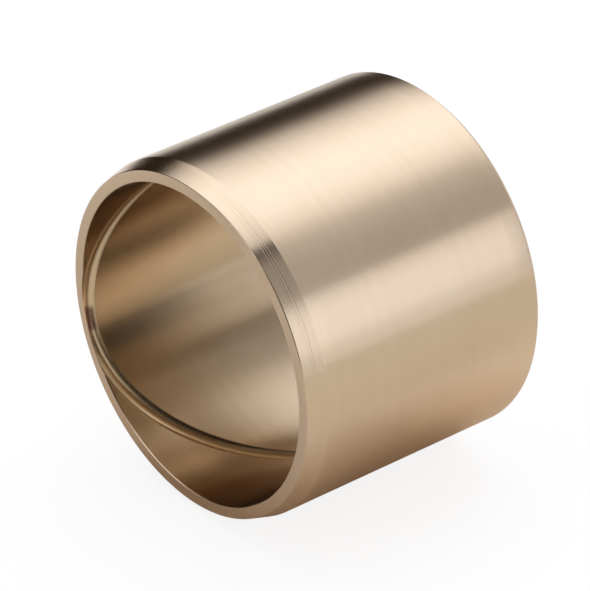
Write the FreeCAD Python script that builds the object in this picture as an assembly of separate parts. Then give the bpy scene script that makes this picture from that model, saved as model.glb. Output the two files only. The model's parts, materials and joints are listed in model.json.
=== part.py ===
import FreeCAD, Part
import math
import os

# One-piece bronze sleeve bushing: 45 mm bore, 50 mm outside diameter, for a 40 mm wide boss.
# The bore axis lies along Y and the origin is the middle of the bore. The end with the long
# lead-in taper, which enters the housing first, faces -Y. +Z is up when the sleeve lies on its side.

# Driving dimensions, in millimetres and degrees.
BORE_RADIUS = 22.5
OUTER_RADIUS = 25.0
LENGTH = 39.5

LEAD_IN_LENGTH = 3.0        # along the axis, on the outside of the -Y end
LEAD_IN_ANGLE = 15.0        # from the axis
REAR_CHAMFER = 0.8          # 45 degrees, on the outside of the +Y end
BORE_CHAMFER = 0.1          # 45 degrees, on both ends of the bore

GROOVE_TOOL_RADIUS = 1.5    # the oil groove has the round bottom of a ball-nosed tool
GROOVE_DEPTH = 0.55         # below the bore wall
GROOVE_END_GAP = 0.2        # from the groove's centre line to each end face, where it comes nearest
GROOVE_TURN_ANGLE = 198.0   # round the bore from +X towards +Z, where it comes nearest the -Y end


def radial(radius, angle_degrees):
    """The point at this radius and angle in the XZ plane."""
    angle = math.radians(angle_degrees)
    return FreeCAD.Vector(radius * math.cos(angle), 0, radius * math.sin(angle))


def turned_blank():
    """The sleeve as it leaves the lathe: a closed section, one turn about the Y axis.

    The turn starts a quarter round from the groove's nearest point, where the groove runs well
    inside the bore, so that the seam crosses it cleanly.
    """
    front = -LENGTH / 2
    rear = LENGTH / 2
    lead_in_drop = LEAD_IN_LENGTH * math.tan(math.radians(LEAD_IN_ANGLE))
    section = [
        (BORE_RADIUS + BORE_CHAMFER, front),
        (OUTER_RADIUS - lead_in_drop, front),
        (OUTER_RADIUS, front + LEAD_IN_LENGTH),
        (OUTER_RADIUS, rear - REAR_CHAMFER),
        (OUTER_RADIUS - REAR_CHAMFER, rear),
        (BORE_RADIUS + BORE_CHAMFER, rear),
        (BORE_RADIUS, rear - BORE_CHAMFER),
        (BORE_RADIUS, front + BORE_CHAMFER),
    ]
    seam_angle = GROOVE_TURN_ANGLE + 90
    corners = [radial(radius, seam_angle) + FreeCAD.Vector(0, y, 0) for radius, y in section]
    outline = Part.makePolygon(corners + corners[:1])
    return Part.Face(outline).revolve(FreeCAD.Vector(), FreeCAD.Vector(0, 1, 0), 360)


def groove_tool_path():
    """The path of the tool's centre: one loop round the bore, from end to end and back.

    The tool runs once along the bore and back in each turn, so the loop lies in a slanting
    plane, and its path is an ellipse.
    """
    path_radius = BORE_RADIUS + GROOVE_DEPTH - GROOVE_TOOL_RADIUS
    reach = LENGTH / 2 - GROOVE_END_GAP
    front_turn = radial(path_radius, GROOVE_TURN_ANGLE) + FreeCAD.Vector(0, -reach, 0)
    side_point = radial(path_radius, GROOVE_TURN_ANGLE + 90)
    return Part.Ellipse(front_turn, side_point, FreeCAD.Vector()), front_turn


def groove_cutter():
    """Everything that the ball-nosed tool sweeps through on its path."""
    path, start = groove_tool_path()
    travel = path.tangent(0)[0]
    disc = Part.Circle(start, travel, GROOVE_TOOL_RADIUS)
    swept = Part.Wire([path.toShape()]).makePipeShell([Part.Wire([disc.toShape()])], True, True)
    return Part.Solid(swept.Shells[0])


def sleeve():
    """The whole bushing: the turned blank with the oil groove cut into its bore."""
    return turned_blank().cut(groove_cutter())


def write_step(name, shape):
    """Save one sub-part and print what it measures."""
    shape.exportStep(os.path.join("parts", name + ".step"))
    box = shape.optimalBoundingBox(False, False)
    print(name, "valid", shape.isValid(), "solids", len(shape.Solids), "volume", round(shape.Volume, 2))
    print("  box", round(box.XLength, 3), round(box.YLength, 3), round(box.ZLength, 3))


os.makedirs("parts", exist_ok=True)
write_step("sleeve", sleeve())
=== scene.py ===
"""One-piece bronze sleeve bushing: the visual model, its finish, the studio and the camera."""
import json
import math

import bmesh
import bpy
import numpy as np
from mathutils import Euler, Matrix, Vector


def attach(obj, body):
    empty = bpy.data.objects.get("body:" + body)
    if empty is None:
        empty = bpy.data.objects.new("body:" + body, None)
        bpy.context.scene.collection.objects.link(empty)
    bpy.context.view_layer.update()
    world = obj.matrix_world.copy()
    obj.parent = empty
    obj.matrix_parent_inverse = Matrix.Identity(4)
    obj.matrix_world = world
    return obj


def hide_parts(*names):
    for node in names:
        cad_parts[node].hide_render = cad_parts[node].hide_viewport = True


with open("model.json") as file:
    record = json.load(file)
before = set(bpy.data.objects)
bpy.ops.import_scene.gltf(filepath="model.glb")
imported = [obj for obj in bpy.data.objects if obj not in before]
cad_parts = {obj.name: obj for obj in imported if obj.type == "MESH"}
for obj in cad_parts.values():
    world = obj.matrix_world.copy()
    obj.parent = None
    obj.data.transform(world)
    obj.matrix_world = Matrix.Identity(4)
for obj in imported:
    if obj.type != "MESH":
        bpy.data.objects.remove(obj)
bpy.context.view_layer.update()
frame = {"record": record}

# ---------------------------------------------------------------------------------------------
# Sizes, in metres and degrees. The bore axis is Y, and the lead-in taper is on the -Y end.
# ---------------------------------------------------------------------------------------------
MM = 0.001
MOUNTS = {mount["name"]: mount for mount in frame["record"]["mounts"]}

BORE_RADIUS = MOUNTS["shaft_bore"]["dims"]["r_mm"] * MM
OUTER_RADIUS = MOUNTS["housing_seat"]["dims"]["r_mm"] * MM
FRONT_Y = MOUNTS["front_face"]["pos_m"][1]
REAR_Y = MOUNTS["rear_face"]["pos_m"][1]

SEAT_HALF = MOUNTS["housing_seat"]["dims"]["length_mm"] * MM / 2
SEAT_FRONT_Y = MOUNTS["housing_seat"]["pos_m"][1] - SEAT_HALF
SEAT_REAR_Y = MOUNTS["housing_seat"]["pos_m"][1] + SEAT_HALF
BORE_CHAMFER = (REAR_Y - FRONT_Y - MOUNTS["shaft_bore"]["dims"]["length_mm"] * MM) / 2
REAR_CHAMFER = REAR_Y - SEAT_REAR_Y
LEAD_IN_ANGLE = math.radians(15.0)
LEAD_IN_DROP = (SEAT_FRONT_Y - FRONT_Y) * math.tan(LEAD_IN_ANGLE)

GROOVE_TOOL_RADIUS = 1.5 * MM
GROOVE_DEPTH = 0.55 * MM
GROOVE_END_GAP = 0.2 * MM
GROOVE_TURN_ANGLE = math.radians(198.0)
GROOVE_PATH_RADIUS = BORE_RADIUS + GROOVE_DEPTH - GROOVE_TOOL_RADIUS
GROOVE_REACH = (REAR_Y - FRONT_Y) / 2 - GROOVE_END_GAP
GROOVE_HALF_WIDTH = math.sqrt(GROOVE_TOOL_RADIUS**2 - (BORE_RADIUS - GROOVE_PATH_RADIUS) ** 2)

EDGE_BREAK = 0.18 * MM          # what a deburring stone leaves on the outside corners
SEAT_ROUNDING = 0.3 * MM        # where the lead-in taper meets the plain outside
GROOVE_EDGE_BREAK = 0.05 * MM
RIDGE_HEIGHT = 0.009 * MM       # of the feed marks on the lead-in taper

COLUMNS = 720                   # mesh steps round the axis
RIDGE_STEPS = 60                # mesh steps along the lead-in taper
SEAT_STEPS = 12                 # mesh steps along the plain outside
SHARP_ANGLE = math.radians(28)  # edges that bend more than this are shaded as corners


# ---------------------------------------------------------------------------------------------
# The sleeve's mesh: one closed section per column, joined all the way round.
# ---------------------------------------------------------------------------------------------
def rounded_corner(before, corner, after, radius, steps=3):
    """Points of a small arc that replaces a corner of the section."""
    to_before = (before - corner).normalized()
    to_after = (after - corner).normalized()
    half_angle = to_before.angle(to_after) / 2
    setback = radius / math.tan(half_angle)
    centre = corner + (to_before + to_after).normalized() * (radius / math.sin(half_angle))
    first = (corner + to_before * setback - centre).normalized()
    last = (corner + to_after * setback - centre).normalized()
    return [centre + first.slerp(last, step / steps) * radius for step in range(steps + 1)]


def turning_ridge(y):
    """How far the lead-in taper stands proud of its cone at y.

    Feed marks are left by the tool: a coarse wave that swells and shrinks, and a finer one on it.
    Both die out towards the taper's ends.
    """
    coarse_waves, fine_waves, swells = 8.3, 12.6, 1.7
    along = (y - FRONT_Y) / (SEAT_FRONT_Y - FRONT_Y)
    turn = 2 * math.pi * along
    coarse = math.sin(coarse_waves * turn) * (0.75 + 0.35 * math.sin(swells * turn + 2.2))
    fine = 0.55 * math.sin(fine_waves * turn + 1.3)
    fade = math.sin(math.pi * min(max(along, 0.0), 1.0) ** 1.3) ** 0.5
    return RIDGE_HEIGHT * (coarse + fine) * fade


def outside_section():
    """(radius, y) from the front face, over the outside, to the rear face."""
    face_radius = OUTER_RADIUS - LEAD_IN_DROP
    groove_clear = GROOVE_PATH_RADIUS + GROOVE_TOOL_RADIUS + 0.1 * MM
    smallest_step = 0.02 * MM
    corners = [
        Vector((groove_clear, FRONT_Y)),
        Vector((face_radius, FRONT_Y)),
        Vector((OUTER_RADIUS, SEAT_FRONT_Y)),
        Vector((OUTER_RADIUS, SEAT_REAR_Y)),
        Vector((OUTER_RADIUS - REAR_CHAMFER, REAR_Y)),
        Vector((groove_clear, REAR_Y)),
    ]
    points = [corners[0]]
    points += rounded_corner(corners[0], corners[1], corners[2], EDGE_BREAK)
    for step in range(1, RIDGE_STEPS):
        point = corners[1].lerp(corners[2], step / RIDGE_STEPS)
        if point.y > points[-1].y + smallest_step:
            points.append(point + Vector((turning_ridge(point.y), 0)))
    points += rounded_corner(corners[1], corners[2], corners[3], SEAT_ROUNDING)
    points += [corners[2].lerp(corners[3], step / SEAT_STEPS) for step in range(1, SEAT_STEPS)]
    points += rounded_corner(corners[2], corners[3], corners[4], EDGE_BREAK)
    points += rounded_corner(corners[3], corners[4], corners[5], EDGE_BREAK)
    points.append(corners[5])
    return [(point.x, point.y) for point in points]


def inside_rows(angles):
    """Row heights in the bore, from rear to front, for every column, and the radius at each.

    The rows follow the oil groove, so that its edges stay crisp, and they are squeezed together
    where the groove runs out through an end face.
    """
    from_turn = angles - GROOVE_TURN_ANGLE
    groove_y = -GROOVE_REACH * np.cos(from_turn)
    slope = GROOVE_REACH * np.sin(from_turn) / BORE_RADIUS
    stretch = np.sqrt(1 + slope**2)

    # Rows across the groove, closest together for this far to either side of its edges.
    margin = 0.12 * MM
    across = np.concatenate([
        np.linspace(GROOVE_HALF_WIDTH + margin, GROOVE_HALF_WIDTH - margin, 9),
        np.linspace(GROOVE_HALF_WIDTH - margin, margin - GROOVE_HALF_WIDTH, 17)[1:-1],
        np.linspace(margin - GROOVE_HALF_WIDTH, -margin - GROOVE_HALF_WIDTH, 9),
    ])
    from_end = np.array([0.0, 0.5, 1.0, 1.4, 3.0]) * BORE_CHAMFER
    thirds = (0.33, 0.67)
    zone_rear = groove_y + across[0] * stretch
    zone_front = groove_y + across[-1] * stretch

    rows = [np.maximum(REAR_Y - gap, zone_rear) for gap in from_end]
    rows += [rows[-1] + (zone_rear - rows[-1]) * part for part in thirds]
    rows += [groove_y + offset * stretch for offset in across]
    last = np.minimum(FRONT_Y + from_end[-1], zone_front)
    rows += [zone_front + (last - zone_front) * part for part in thirds]
    rows += [np.minimum(FRONT_Y + gap, zone_front) for gap in reversed(from_end)]
    heights = np.clip(np.array(rows), FRONT_Y, REAR_Y)

    offset = (heights - groove_y) / stretch
    in_groove = GROOVE_PATH_RADIUS + np.sqrt(np.maximum(GROOVE_TOOL_RADIUS**2 - offset**2, 0))
    to_end = np.minimum(REAR_Y - heights, heights - FRONT_Y)
    wall = BORE_RADIUS + np.maximum(BORE_CHAMFER - to_end, 0)
    apart = np.clip(0.5 + (in_groove - wall) / (4 * GROOVE_EDGE_BREAK), 0, 1)
    radii = wall + (in_groove - wall) * apart + GROOVE_EDGE_BREAK * 2 * apart * (1 - apart)
    return heights, radii


def sleeve_mesh():
    """The whole sleeve as one closed surface."""
    angles = np.linspace(0, 2 * math.pi, COLUMNS, endpoint=False)
    heights, radii = inside_rows(angles)
    outside = outside_section()
    outside_radii = np.array([[radius] * COLUMNS for radius, _ in outside])
    outside_heights = np.array([[y] * COLUMNS for _, y in outside])
    radii = np.vstack([outside_radii, radii])
    heights = np.vstack([outside_heights, heights])

    rows = len(radii)
    places = np.stack([radii * np.cos(angles), heights, radii * np.sin(angles)], axis=-1)
    faces = []
    for row in range(rows):
        here = row * COLUMNS
        there = (row + 1) % rows * COLUMNS
        for column in range(COLUMNS):
            beside = (column + 1) % COLUMNS
            faces.append((here + column, here + beside, there + beside, there + column))
    mesh = bpy.data.meshes.new("sleeve_turned")
    mesh.from_pydata(places.reshape(-1, 3).tolist(), [], faces)
    return mesh


def tidy_mesh(mesh):
    """Joins the rows that meet at the groove's run-out, and shades it smooth but for real corners."""
    work = bmesh.new()
    work.from_mesh(mesh)
    bmesh.ops.remove_doubles(work, verts=work.verts, dist=0.001 * MM)
    bmesh.ops.dissolve_degenerate(work, edges=work.edges, dist=0.0005 * MM)
    bmesh.ops.recalc_face_normals(work, faces=work.faces)
    for face in work.faces:
        face.smooth = True
    for edge in work.edges:
        edge.smooth = edge.is_manifold and edge.calc_face_angle() < SHARP_ANGLE
    work.to_mesh(mesh)
    work.free()


# ---------------------------------------------------------------------------------------------
# Shader nodes
# ---------------------------------------------------------------------------------------------
class Nodes:
    """Adds nodes to one node tree and links them."""

    def __init__(self, tree):
        self.tree = tree

    def add(self, kind, inputs=None, **settings):
        node = self.tree.nodes.new(kind)
        for name, value in settings.items():
            setattr(node, name, value)
        for key, value in (inputs or {}).items():
            if isinstance(value, bpy.types.NodeSocket):
                self.tree.links.new(value, node.inputs[key])
            else:
                node.inputs[key].default_value = value
        return node

    def math(self, operation, first, second=0.0, third=0.0):
        node = self.add("ShaderNodeMath", {0: first, 1: second, 2: third}, operation=operation)
        return node.outputs[0]

    def product(self, first, second):
        """Two colours multiplied, or a colour and a number."""
        node = self.add("ShaderNodeVectorMath", {0: first, 1: second}, operation="MULTIPLY")
        return node.outputs[0]

    def between(self, value, start, end, low=0.0, high=1.0):
        """Goes from low to high as the value goes from start to end, and stays there beyond."""
        limits = {"From Min": start, "From Max": end, "To Min": low, "To Max": high}
        return self.add("ShaderNodeMapRange", {"Value": value, **limits}).outputs[0]

    def mix(self, share, first, second):
        """The first colour where the share is 0, and the second where it is 1."""
        node = self.add("ShaderNodeMix", {0: share, 6: first, 7: second}, data_type="RGBA")
        return node.outputs[2]

    def ramp(self, factor, stops):
        node = self.add("ShaderNodeValToRGB", {"Fac": factor})
        elements = node.color_ramp.elements
        while len(elements) > 1:
            elements.remove(elements[-1])
        elements[0].position = stops[0][0]
        elements[0].color = stops[0][1]
        for place, colour in stops[1:]:
            elements.new(place).color = colour
        return node.outputs[0]


def new_material(name):
    """An empty material, and what adds nodes to it."""
    material = bpy.data.materials.new(name)
    material.use_nodes = True
    material.node_tree.nodes.clear()
    return material, Nodes(material.node_tree)


def grey(level):
    return (level, level, level, 1.0)


# ---------------------------------------------------------------------------------------------
# The finish
# ---------------------------------------------------------------------------------------------
def shades(dark, middle, light):
    """Ramp stops for a tone that wanders between three shades."""
    return [(0.30, (*dark, 1)), (0.50, (*middle, 1)), (0.70, (*light, 1))]


OUTSIDE_SHADES = shades((0.80, 0.615, 0.44), (0.84, 0.655, 0.48), (0.87, 0.69, 0.52))
# Painted shade: the bore's hollow is painted darker and browner than the outside.
SHADED_BORE_SHADES = shades((0.54, 0.405, 0.27), (0.59, 0.45, 0.31), (0.63, 0.49, 0.35))
# Painted shade: the front part of the bore is painted darker and browner still.
FRONT_SHADE_SHADES = shades((0.43, 0.32, 0.195), (0.47, 0.35, 0.22), (0.51, 0.385, 0.25))
# Painted shade for the dark patches in the bore.
BORE_SHADE_PATCH_TONE = (0.27, 0.165, 0.08, 1)
# Painted highlight along one strip of the bore.
BORE_HIGHLIGHT_TONE = (0.74, 0.575, 0.39, 1)
# Painted light for the lighter patch in the bore.
BORE_LIGHT_PATCH_TONE = (0.73, 0.565, 0.385, 1)
GROOVE_BRONZE = (0.80, 0.62, 0.42, 1)
# Painted shade: the groove's lower part is painted darker and browner.
SHADED_LOW_GROOVE = (0.62, 0.455, 0.26, 1)
# Painted shade: a dark spot where the groove runs out at the front edge.
SHADED_RUN_OUT_GROOVE = (0.30, 0.18, 0.12, 1)

# Patches of painted shade and painted light in the bore, three darker and one lighter: the angle round it
# from +X towards +Z, the half-widths in degrees of the patch's core and of its edge, how far it
# reaches in from the front, how strong it is, and its tone.
BORE_PATCHES = [
    (290, 14, 31, 28 * MM, 1.0, BORE_SHADE_PATCH_TONE),
    (212, 5, 14, 45 * MM, 0.85, BORE_SHADE_PATCH_TONE),
    (154, 8, 24, 40 * MM, 0.75, BORE_SHADE_PATCH_TONE),
    # The lighter patch: painted light.
    (253, 6, 16, 9 * MM, 1.0, BORE_LIGHT_PATCH_TONE),
]
PATCH_FADES_FROM = 5 * MM       # in from the front
HIGHLIGHT_ANGLE = 189                 # round the bore, the middle of the painted highlight strip
RUN_OUT_ANGLE = math.radians(196.4)
RUN_OUT = (
    BORE_RADIUS * math.cos(RUN_OUT_ANGLE),
    FRONT_Y + 0.3 * MM,
    BORE_RADIUS * math.sin(RUN_OUT_ANGLE),
)


def bore_tone(nodes, place, tone_wander, clouds):
    """The bore's colour, painted with shade: darker near the front, painted patches of shade and light,
    and a painted highlight along one strip.
    """
    x, y, z = place
    into_bore = nodes.between(y, FRONT_Y, 0.4 * REAR_Y)
    # Painted shade: the darker tone near the front of the bore.
    front_shade = nodes.ramp(tone_wander, FRONT_SHADE_SHADES)
    # Painted shade: the bore's tone beyond the front, darker and browner than the outside.
    shaded_bore = nodes.ramp(tone_wander, SHADED_BORE_SHADES)
    uneven = nodes.math("MULTIPLY_ADD", clouds, 0.03 * BORE_RADIUS, -0.015 * BORE_RADIUS)

    def towards(degrees):
        """How far a point lies from the axis in this direction about it."""
        angle = math.radians(degrees)
        along_z = nodes.math("MULTIPLY", z, math.sin(angle))
        return nodes.math("MULTIPLY_ADD", x, math.cos(angle), along_z)

    def patch(middle, core, edge, reach, strength):
        """Where one patch lies: all along its core, and fainter towards its edge and further in."""
        across = nodes.between(
            nodes.math("ADD", towards(middle), uneven),
            math.cos(math.radians(edge)) * BORE_RADIUS,
            math.cos(math.radians(core)) * BORE_RADIUS,
        )
        inwards = nodes.between(y, FRONT_Y + PATCH_FADES_FROM, FRONT_Y + reach, strength, 0.0)
        return nodes.math("MULTIPLY", across, inwards)

    # Painted shade: darker near the front, fading to the shaded bore tone further in.
    tone = nodes.mix(into_bore, front_shade, shaded_bore)
    # Painted patches of shade and light, each fading further in.
    for *spread, patch_tone in BORE_PATCHES:
        tone = nodes.mix(patch(*spread), tone, patch_tone)
    # Painted highlight: a bright strip along the bore.
    highlight_strip = nodes.between(
        towards(HIGHLIGHT_ANGLE), 0.978 * BORE_RADIUS, 0.998 * BORE_RADIUS, high=0.85
    )
    return nodes.mix(highlight_strip, tone, BORE_HIGHLIGHT_TONE)


def groove_tone(nodes, place, z):
    """The oil groove's colour: painted darker and browner low down, and a painted dark spot at the front
    run-out.
    """
    # Painted shade: darker and browner towards the bottom.
    low_in_groove = nodes.between(z, -4 * MM, -11 * MM)
    tone = nodes.mix(low_in_groove, GROOVE_BRONZE, SHADED_LOW_GROOVE)
    # Painted shade: a dark spot round the groove's run-out.
    distance = nodes.add("ShaderNodeVectorMath", {0: place, 1: RUN_OUT}, operation="DISTANCE")
    run_out_shade = nodes.between(distance.outputs["Value"], 2.1 * MM, 1.4 * MM)
    return nodes.mix(run_out_shade, tone, SHADED_RUN_OUT_GROOVE)


def turned_bronze():
    """Lathe-turned bronze: tool lines round the axis, a stretched gloss, and slight tone changes.

    The outside is a bright fine-turned surface. The bore is painted darker and browner, a painted shade
    for its hollow, and the oil groove's cut shows the plain bronze tone again.
    """
    material, nodes = new_material("turned_bronze")
    place = nodes.add("ShaderNodeTexCoord").outputs["Object"]
    x, y, z = nodes.add("ShaderNodeSeparateXYZ", {0: place}).outputs
    z_squared = nodes.math("MULTIPLY", z, z)
    radius = nodes.math("SQRT", nodes.math("ADD", nodes.math("MULTIPLY", x, x), z_squared))
    # Distance along the section, in millimetres: every tool line is a ring where this is constant.
    along = nodes.math("MULTIPLY", nodes.math("ADD", radius, y), 1 / MM)

    def lines(scale, detail):
        return nodes.add(
            "ShaderNodeTexNoise",
            {"W": nodes.math("MULTIPLY", along, scale), "Scale": 1.0, "Detail": detail, "Roughness": 0.6},
            noise_dimensions="1D",
        ).outputs["Fac"]

    fine = lines(9.0, 2.0)
    broad = lines(0.8, 3.0)
    clouds = nodes.add(
        "ShaderNodeTexNoise", {"Vector": place, "Scale": 90.0, "Detail": 4.0, "Roughness": 0.55}
    ).outputs["Fac"]
    lined = nodes.math("MULTIPLY_ADD", fine, 0.3, nodes.math("MULTIPLY", broad, 0.2))
    tone_wander = nodes.math("MULTIPLY_ADD", clouds, 0.5, lined)

    # Which surface a point is on: below the bore's wall it is in the groove, unless it is on the
    # chamfer, and beyond the groove's bottom or on an end face it is outside.
    from_middle = nodes.math("ABSOLUTE", y)
    end_face = nodes.between(from_middle, REAR_Y - 0.05 * MM, REAR_Y - 0.01 * MM)
    clear_of_chamfer = nodes.between(from_middle, REAR_Y - BORE_CHAMFER, REAR_Y - 1.5 * BORE_CHAMFER)
    below_wall = nodes.between(radius, BORE_RADIUS + 0.06 * MM, BORE_RADIUS + 0.25 * MM)
    in_groove = nodes.math("MULTIPLY", below_wall, clear_of_chamfer)
    groove_bottom = BORE_RADIUS + GROOVE_DEPTH
    beyond_groove = nodes.between(radius, groove_bottom, groove_bottom + 0.1 * MM)
    is_outside = nodes.math("MAXIMUM", beyond_groove, end_face)

    bore = bore_tone(nodes, (x, y, z), tone_wander, clouds)
    inside = nodes.mix(in_groove, bore, groove_tone(nodes, place, z))
    colour = nodes.mix(is_outside, inside, nodes.ramp(tone_wander, OUTSIDE_SHADES))
    wear = nodes.math("MULTIPLY_ADD", fine, 0.5, nodes.math("MULTIPLY", clouds, 0.5))
    rough = nodes.between(wear, 0.3, 0.7, 0.21, 0.25)
    bump = nodes.add("ShaderNodeBump", {"Strength": 0.04, "Distance": 0.01 * MM, "Height": fine})
    tangent = nodes.add("ShaderNodeTangent", direction_type="RADIAL", axis="Y")
    shader = nodes.add(
        "ShaderNodeBsdfPrincipled",
        {"Base Color": colour, "Metallic": 1.0, "Roughness": rough, "Normal": bump.outputs[0],
         "Tangent": tangent.outputs[0], "Anisotropic": 0.85, "Anisotropic Rotation": 0.25},
    )
    nodes.add("ShaderNodeOutputMaterial", {"Surface": shader.outputs[0]})
    return material


def build_sleeve():
    mesh = sleeve_mesh()
    tidy_mesh(mesh)
    sleeve = bpy.data.objects.new("sleeve_turned", mesh)
    bpy.context.scene.collection.objects.link(sleeve)
    mesh.materials.append(turned_bronze())
    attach(sleeve, "root")
    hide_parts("sleeve")


# ---------------------------------------------------------------------------------------------
# The studio
# ---------------------------------------------------------------------------------------------
# How bright the surround is at each angle about the bore axis, in degrees from +X through +Z.
LIGHT_LEVELS = [
    (-90, 0.65), (-20, 0.65), (-8, 0.72), (2, 0.86), (10, 1.19), (25, 1.22), (33, 1.01),
    (36, 0.77), (39, 0.44), (47, 0.44), (58, 0.49), (68, 0.61), (77, 0.86), (86, 1.12),
    (95, 1.30), (108, 1.38), (120, 1.34), (131, 1.14), (140, 0.88), (147, 0.62), (153, 0.26),
    (158, 0.0), (187, 0.0), (194, 0.70), (200, 1.10), (206, 1.10), (213, 0.90), (269, 0.90),
]
DIM = Vector((0.021, 0.014, 0.008))         # what is left where the room is dark
COOL = Vector((-0.03, -0.01, 0.035))        # the soft box is a little bluer than the room


def light(level):
    """The surround's colour at a level of brightness."""
    return (*(DIM + Vector((level,) * 3) + COOL * min(level, 1.3) ** 3), 1)


def studio_light():
    """Soft light from all round, told by the angle about the bore axis, from +X through +Z.

    A wide soft box hangs over the far left, a lower one stands on the right, and the room is dark
    low on the left and behind the camera.
    """
    world = bpy.data.worlds.new("studio")
    bpy.context.scene.world = world
    world.use_nodes = True
    world.node_tree.nodes.clear()
    nodes = Nodes(world.node_tree)

    direction = nodes.add("ShaderNodeTexCoord").outputs["Generated"]
    x, y, z = nodes.add("ShaderNodeSeparateXYZ", {0: direction}).outputs
    turn = nodes.math("ARCTAN2", z, x)
    part = nodes.math("FRACT", nodes.math("MULTIPLY_ADD", turn, 1 / (2 * math.pi), 1.25))

    def round_axis(stops, colour=grey):
        """A ramp over the angle about the axis. Its stops are degrees, from -90 on, and levels."""
        return nodes.ramp(part, [((degrees + 90) / 360, colour(level)) for degrees, level in stops])

    band = round_axis(LIGHT_LEVELS, light)
    # The lead-in taper looks further forwards, past the boxes' ends: there the upper one has a dark
    # gap beside it, and the lower one is dimmer.
    past_ends = round_axis([
        (-5, 1.0), (-1, 0.61), (34, 0.61), (40, 1.0), (44, 0.90), (50, 0.78), (60, 0.62), (64, 0.42),
        (68, 0.12), (73, 0.04), (75, 1.0),
    ])
    at_ends = nodes.between(y, 0.40, 0.28)
    band = nodes.mix(at_ends, band, nodes.product(band, past_ends))
    # Further forwards still, the lower box is brighter again.
    glare = round_axis([(-5, 0.0), (-1, 0.66), (33, 0.66), (37, 0.0)])
    forwards = nodes.between(y, 0.18, -0.05)
    band = nodes.product(band, nodes.math("MULTIPLY_ADD", glare, forwards, 1.0))
    # The lower box ends towards the rear.
    lower_box = round_axis([(-8, 0.0), (2, 1.0), (30, 1.0), (38, 0.0)])
    rearwards = nodes.between(y, 0.56, 0.74, 0.12, -0.75)
    band = nodes.product(band, nodes.math("MULTIPLY_ADD", lower_box, rearwards, 1.0))
    # Straight behind the sleeve the light is even.
    evened = nodes.between(y, 0.78, 0.90)
    band = nodes.mix(evened, band, light(0.60))
    # The room is dark behind the camera, low down and up its side.
    room = round_axis([(-16, 0.0), (-6, 1.0), (60, 1.0), (80, 0.0)])
    room_side = round_axis([(60, 0.0), (80, 1.0), (108, 1.0), (130, 0.0)])
    forward_end = nodes.between(y, -0.14, -0.36)
    not_far = nodes.between(y, -0.72, -0.58)
    whole_room = nodes.math("MULTIPLY_ADD", room_side, not_far, room)
    behind_camera = nodes.math("MULTIPLY", whole_room, forward_end)
    reflected = nodes.mix(behind_camera, band, (*DIM, 1))
    # The camera itself sees plain white.
    is_seen = nodes.add("ShaderNodeLightPath").outputs["Is Camera Ray"]
    shown = nodes.mix(is_seen, reflected, grey(1.0))
    background = nodes.add("ShaderNodeBackground", {"Color": shown, "Strength": 1.0})
    nodes.add("ShaderNodeOutputWorld", {"Surface": background.outputs[0]})


def table_painted_light(nodes):
    """The table's tone as the metal shows it: a painted shadow with painted bronze bounce light close
    round the sleeve, brown there, and painted light and shade, uneven, beyond.

    It goes over 1 in places, so that the metal gets back as much light there as it needs.
    """
    place = nodes.add("ShaderNodeTexCoord").outputs["Object"]
    x, y, _ = nodes.add("ShaderNodeSeparateXYZ", {0: place}).outputs
    beside = nodes.math("MULTIPLY", x, 1 / (26 * MM))
    from_end_face = nodes.math("SUBTRACT", nodes.math("ABSOLUTE", y), REAR_Y)
    beyond = nodes.math("MULTIPLY", nodes.math("MAXIMUM", from_end_face, 0.0), 1 / (11 * MM))
    beyond_squared = nodes.math("MULTIPLY", beyond, beyond)
    away = nodes.math("SQRT", nodes.math("ADD", nodes.math("MULTIPLY", beside, beside), beyond_squared))
    # Painted shadow with painted bronze bounce light, brown close round the sleeve.
    shadow_and_bounce = nodes.ramp(nodes.math("MULTIPLY", away, 0.25), [
        (0.10, (0.78, 0.63, 0.46, 1)), (0.26, (0.92, 0.79, 0.63, 1)), (0.42, (0.99, 0.91, 0.79, 1)),
        (0.88, (1.0, 0.93, 0.79, 1)), (1.0, (0.99, 0.93, 0.80, 1)),
    ])
    # Painted light and shade across the table to the left.
    to_left = nodes.ramp(nodes.math("MULTIPLY", x, -2.5), [
        (0.225, grey(0.94)), (0.325, (1.16, 1.22, 1.35, 1)), (0.48, (1.22, 1.28, 1.42, 1)),
        (0.70, grey(0.65)), (1.0, grey(0.2)),
    ])
    # Painted light and shade on the table in front of the sleeve.
    to_front = nodes.ramp(nodes.math("MULTIPLY", y, -2.5), [
        (0.049, grey(1.0)), (0.055, (0.89, 0.89, 0.93, 1)), (0.37, grey(0.90)), (0.65, grey(0.30)),
    ])
    # Painted light on the table behind the rear end.
    to_rear = nodes.ramp(nodes.math("MULTIPLY", y, 10.0), [
        (0.06, grey(1.0)), (0.14, grey(1.17)), (0.28, grey(1.28)), (0.6, grey(1.20)), (0.9, grey(1.0)),
    ])
    left_of_right_edge = nodes.between(x, 55 * MM, 30 * MM)
    ends = nodes.mix(left_of_right_edge, grey(1.0), nodes.product(to_front, to_rear))
    return nodes.product(nodes.product(shadow_and_bounce, to_left), ends)


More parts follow.
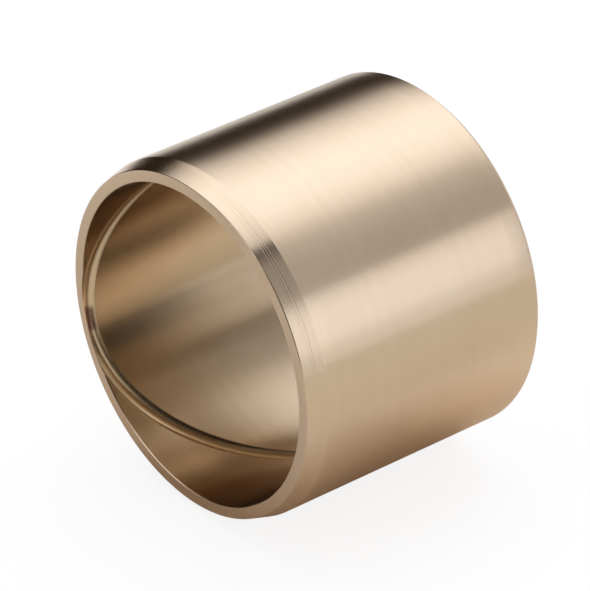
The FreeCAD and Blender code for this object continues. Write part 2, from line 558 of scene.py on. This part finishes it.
def floor():
    """A plain white table that the sleeve lies on. In the metal it shows a warmer, uneven tone of painted
    shadow and painted light.
    """
    bpy.ops.mesh.primitive_circle_add(
        vertices=64, radius=0.45, fill_type="NGON", location=(0, 0, -OUTER_RADIUS)
    )
    table = bpy.context.object
    table.name = "floor"
    material, nodes = new_material("white_table")
    seen = nodes.add("ShaderNodeLightPath").outputs["Is Camera Ray"]
    lit = nodes.add("ShaderNodeBsdfDiffuse", {"Color": table_painted_light(nodes)})
    bright = nodes.add("ShaderNodeEmission", {"Color": grey(1.0), "Strength": 0.85})
    paper = nodes.add("ShaderNodeBsdfDiffuse", {"Color": grey(0.25)})
    white = nodes.add("ShaderNodeAddShader", {0: bright.outputs[0], 1: paper.outputs[0]})
    surface = nodes.add("ShaderNodeMixShader", {0: seen, 1: lit.outputs[0], 2: white.outputs[0]})
    nodes.add("ShaderNodeOutputMaterial", {"Surface": surface.outputs[0]})
    table.data.materials.append(material)


# ---------------------------------------------------------------------------------------------
# The camera: a long lens, from the front and above, a little to the right of the bore axis
# ---------------------------------------------------------------------------------------------
VIEW_AZIMUTH = math.radians(50.3)
VIEW_ELEVATION = math.radians(31.3)
VIEW_DISTANCE = 676 * MM
VIEW_ASIDE = 1.3 * MM           # the sleeve sits this far right of the picture's middle
SENSOR_WIDTH = 36.0
LENS = 310.7


def camera():
    lens = bpy.data.cameras.new("camera")
    lens.sensor_width = SENSOR_WIDTH
    lens.lens = LENS
    lens.clip_start = 0.01
    lens.clip_end = 20
    view = bpy.data.objects.new("camera", lens)
    bpy.context.scene.collection.objects.link(view)
    right = Vector((math.cos(VIEW_AZIMUTH), math.sin(VIEW_AZIMUTH), 0))
    level = Vector((math.sin(VIEW_AZIMUTH), -math.cos(VIEW_AZIMUTH), 0))
    back = level * math.cos(VIEW_ELEVATION) + Vector((0, 0, math.sin(VIEW_ELEVATION)))
    view.location = back * VIEW_DISTANCE - right * VIEW_ASIDE
    view.rotation_euler = Euler((math.pi / 2 - VIEW_ELEVATION, 0, VIEW_AZIMUTH))
    bpy.context.scene.camera = view


camera()
studio_light()
floor()
build_sleeve()
bpy.context.scene.view_settings.view_transform = "Standard"
